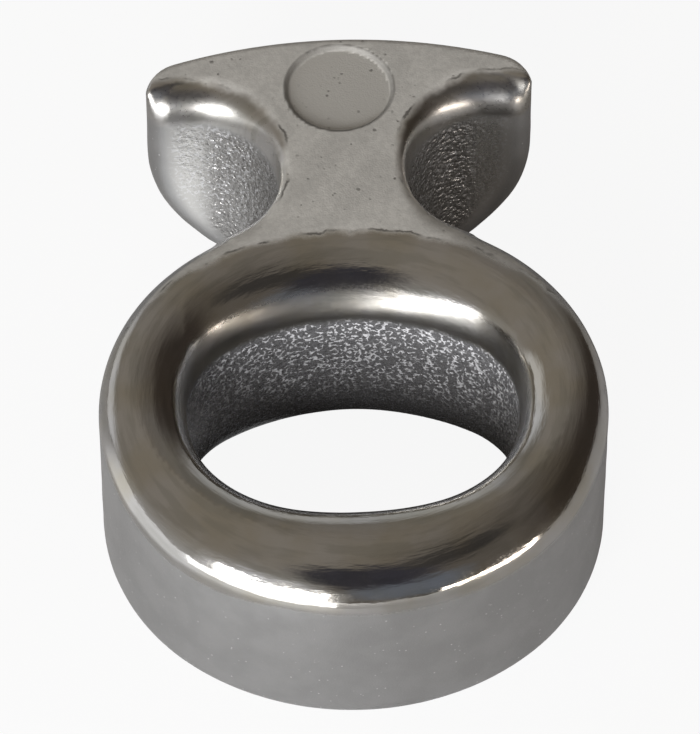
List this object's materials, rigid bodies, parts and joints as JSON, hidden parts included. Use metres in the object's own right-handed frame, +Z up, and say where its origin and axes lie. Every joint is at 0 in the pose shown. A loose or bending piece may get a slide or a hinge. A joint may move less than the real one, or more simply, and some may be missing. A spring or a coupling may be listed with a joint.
{
  "type": "soft shackle connector",
  "caption": "Cast stainless connector: an oval rope eye joined by a short waist to a wide toggle head that a soft loop hooks around.",
  "frame": {"origin": "centre of the part's rectangular outline seen from above, on the flat underside it rests on", "axes": "+Z up through the eye, out of the top face; +Y from the eye towards the toggle head; +X across the part"},
  "size_m": [0.034, 0.046, 0.0155],
  "materials": {
    "steel": "cast and blasted satin, with the eye's crown and the rope lips polished"
  },
  "bodies": {
    "root": {"connector": "steel"}
  },
  "joints": []
}
